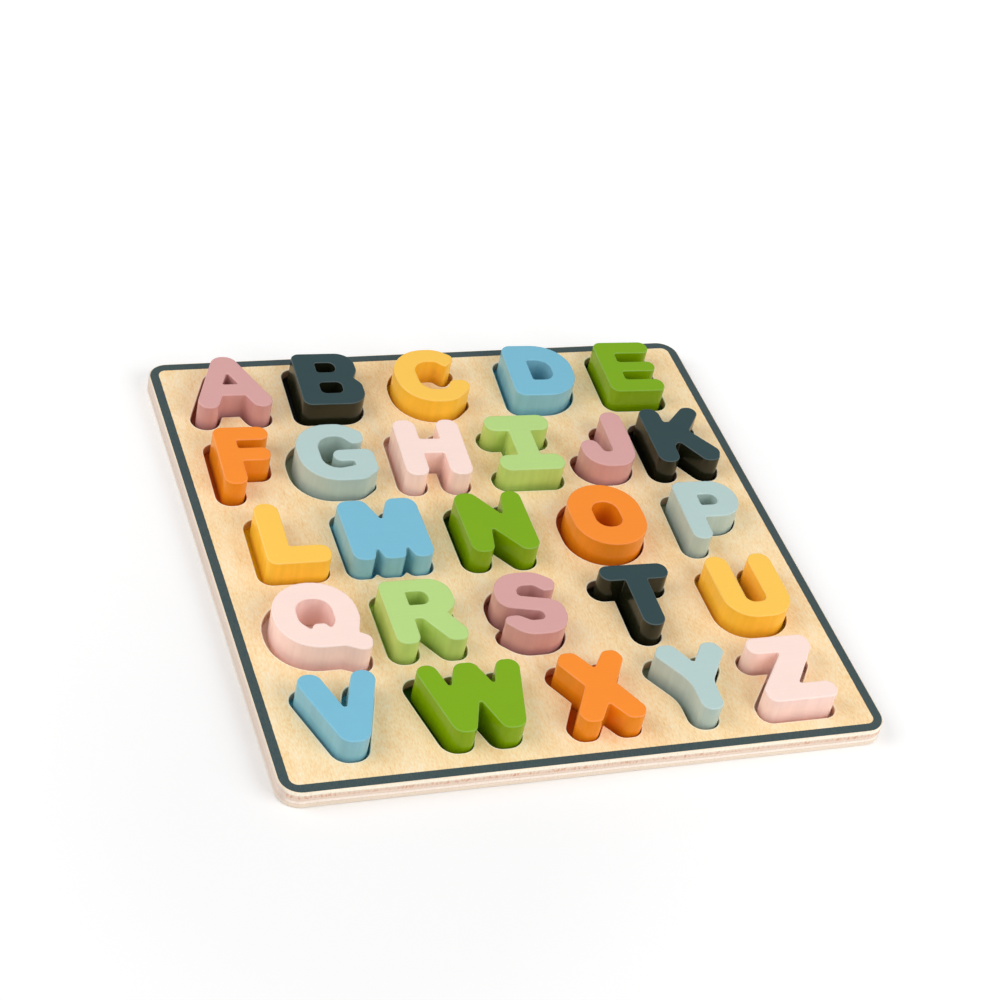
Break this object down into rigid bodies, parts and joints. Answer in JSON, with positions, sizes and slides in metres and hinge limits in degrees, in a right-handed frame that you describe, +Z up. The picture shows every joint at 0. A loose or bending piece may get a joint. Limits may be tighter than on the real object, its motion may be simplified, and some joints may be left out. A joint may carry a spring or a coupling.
{
  "type": "alphabet puzzle",
  "caption": "Square wooden lift-out puzzle: a plywood board with letter-shaped recesses and thick painted wooden letters that lift straight up out of them.",
  "frame": {"origin": "centre of the board's underside", "axes": "+Z up out of the board's face, +X to the right along a row of letters, +Y away from the reader towards the first row"},
  "size_m": [0.3, 0.3, 0.0215],
  "materials": {
    "top_ply": "sanded pale plywood, clear satin, dark painted stripe round the edge",
    "base_ply": "sanded plywood, painted in each letter's colour inside its recess",
    "dusty_pink_paint": "satin water-based paint on wood",
    "slate_paint": "satin water-based paint on wood",
    "yellow_paint": "satin water-based paint on wood",
    "sky_blue_paint": "satin water-based paint on wood",
    "grass_green_paint": "satin water-based paint on wood",
    "orange_paint": "satin water-based paint on wood",
    "grey_blue_paint": "satin water-based paint on wood",
    "pale_pink_paint": "satin water-based paint on wood",
    "light_green_paint": "satin water-based paint on wood"
  },
  "bodies": {
    "board": {"top_plate": "top_ply", "base_plate": "base_ply"},
    "letter_a": {"letter_a": "dusty_pink_paint"},
    "letter_b": {"letter_b": "slate_paint"},
    "letter_c": {"letter_c": "yellow_paint"},
    "letter_d": {"letter_d": "sky_blue_paint"},
    "letter_e": {"letter_e": "grass_green_paint"},
    "letter_f": {"letter_f": "orange_paint"},
    "letter_g": {"letter_g": "grey_blue_paint"},
    "letter_h": {"letter_h": "pale_pink_paint"},
    "letter_i": {"letter_i": "light_green_paint"},
    "letter_j": {"letter_j": "dusty_pink_paint"},
    "letter_k": {"letter_k": "slate_paint"},
    "letter_l": {"letter_l": "yellow_paint"},
    "letter_m": {"letter_m": "sky_blue_paint"},
    "letter_n": {"letter_n": "grass_green_paint"},
    "letter_o": {"letter_o": "orange_paint"},
    "letter_p": {"letter_p": "grey_blue_paint"},
    "letter_q": {"letter_q": "pale_pink_paint"},
    "letter_r": {"letter_r": "light_green_paint"},
    "letter_s": {"letter_s": "dusty_pink_paint"},
    "letter_t": {"letter_t": "slate_paint"},
    "letter_u": {"letter_u": "yellow_paint"},
    "letter_v": {"letter_v": "sky_blue_paint"},
    "letter_w": {"letter_w": "grass_green_paint"},
    "letter_x": {"letter_x": "orange_paint"},
    "letter_y": {"letter_y": "grey_blue_paint"},
    "letter_z": {"letter_z": "pale_pink_paint"}
  },
  "joints": [
    {"name": "lift_a", "type": "slide", "parent": "board", "child": "letter_a", "axis": [0, 0, 1], "range_m": [0, 0.03]},
    {"name": "lift_b", "type": "slide", "parent": "board", "child": "letter_b", "axis": [0, 0, 1], "range_m": [0, 0.03]},
    {"name": "lift_c", "type": "slide", "parent": "board", "child": "letter_c", "axis": [0, 0, 1], "range_m": [0, 0.03]},
    {"name": "lift_d", "type": "slide", "parent": "board", "child": "letter_d", "axis": [0, 0, 1], "range_m": [0, 0.03]},
    {"name": "lift_e", "type": "slide", "parent": "board", "child": "letter_e", "axis": [0, 0, 1], "range_m": [0, 0.03]},
    {"name": "lift_f", "type": "slide", "parent": "board", "child": "letter_f", "axis": [0, 0, 1], "range_m": [0, 0.03]},
    {"name": "lift_g", "type": "slide", "parent": "board", "child": "letter_g", "axis": [0, 0, 1], "range_m": [0, 0.03]},
    {"name": "lift_h", "type": "slide", "parent": "board", "child": "letter_h", "axis": [0, 0, 1], "range_m": [0, 0.03]},
    {"name": "lift_i", "type": "slide", "parent": "board", "child": "letter_i", "axis": [0, 0, 1], "range_m": [0, 0.03]},
    {"name": "lift_j", "type": "slide", "parent": "board", "child": "letter_j", "axis": [0, 0, 1], "range_m": [0, 0.03]},
    {"name": "lift_k", "type": "slide", "parent": "board", "child": "letter_k", "axis": [0, 0, 1], "range_m": [0, 0.03]},
    {"name": "lift_l", "type": "slide", "parent": "board", "child": "letter_l", "axis": [0, 0, 1], "range_m": [0, 0.03]},
    {"name": "lift_m", "type": "slide", "parent": "board", "child": "letter_m", "axis": [0, 0, 1], "range_m": [0, 0.03]},
    {"name": "lift_n", "type": "slide", "parent": "board", "child": "letter_n", "axis": [0, 0, 1], "range_m": [0, 0.03]},
    {"name": "lift_o", "type": "slide", "parent": "board", "child": "letter_o", "axis": [0, 0, 1], "range_m": [0, 0.03]},
    {"name": "lift_p", "type": "slide", "parent": "board", "child": "letter_p", "axis": [0, 0, 1], "range_m": [0, 0.03]},
    {"name": "lift_q", "type": "slide", "parent": "board", "child": "letter_q", "axis": [0, 0, 1], "range_m": [0, 0.03]},
    {"name": "lift_r", "type": "slide", "parent": "board", "child": "letter_r", "axis": [0, 0, 1], "range_m": [0, 0.03]},
    {"name": "lift_s", "type": "slide", "parent": "board", "child": "letter_s", "axis": [0, 0, 1], "range_m": [0, 0.03]},
    {"name": "lift_t", "type": "slide", "parent": "board", "child": "letter_t", "axis": [0, 0, 1], "range_m": [0, 0.03]},
    {"name": "lift_u", "type": "slide", "parent": "board", "child": "letter_u", "axis": [0, 0, 1], "range_m": [0, 0.03]},
    {"name": "lift_v", "type": "slide", "parent": "board", "child": "letter_v", "axis": [0, 0, 1], "range_m": [0, 0.03]},
    {"name": "lift_w", "type": "slide", "parent": "board", "child": "letter_w", "axis": [0, 0, 1], "range_m": [0, 0.03]},
    {"name": "lift_x", "type": "slide", "parent": "board", "child": "letter_x", "axis": [0, 0, 1], "range_m": [0, 0.03]},
    {"name": "lift_y", "type": "slide", "parent": "board", "child": "letter_y", "axis": [0, 0, 1], "range_m": [0, 0.03]},
    {"name": "lift_z", "type": "slide", "parent": "board", "child": "letter_z", "axis": [0, 0, 1], "range_m": [0, 0.03]}
  ]
}
